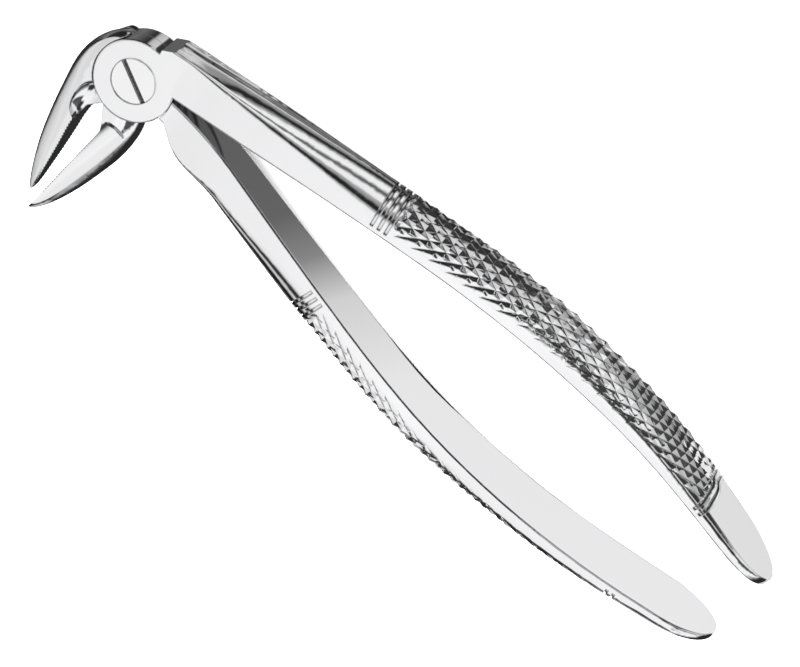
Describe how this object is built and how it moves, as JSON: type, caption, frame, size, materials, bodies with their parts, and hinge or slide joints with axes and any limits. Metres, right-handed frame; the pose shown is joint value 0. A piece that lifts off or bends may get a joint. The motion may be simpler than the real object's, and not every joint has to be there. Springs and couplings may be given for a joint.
{
  "type": "dental extraction forceps",
  "caption": "Lower-root extraction forceps: two forged halves lap at a slotted-screw joint, with pointed serrated beaks at right angles to long cross-hatched handles.",
  "frame": {"origin": "pivot axis, at the flat rear face of the joint", "axes": "+Z along the pivot axis towards the slotted screw head, +X along the handles, -Y towards the beak tips"},
  "size_m": [0.1693, 0.061, 0.0162],
  "materials": {
    "front_half_steel": "polished",
    "rear_half_steel": "polished",
    "screw_steel": "fine turned"
  },
  "bodies": {
    "rear": {"rear_half": "rear_half_steel", "pivot_screw": "screw_steel"},
    "front": {"front_half": "front_half_steel"}
  },
  "joints": [
    {"name": "pivot", "type": "hinge", "parent": "rear", "child": "front", "pos_m": [0, 0, 0.004], "axis": [0, 0, 1], "range_deg": [-2.5, 28]}
  ]
}
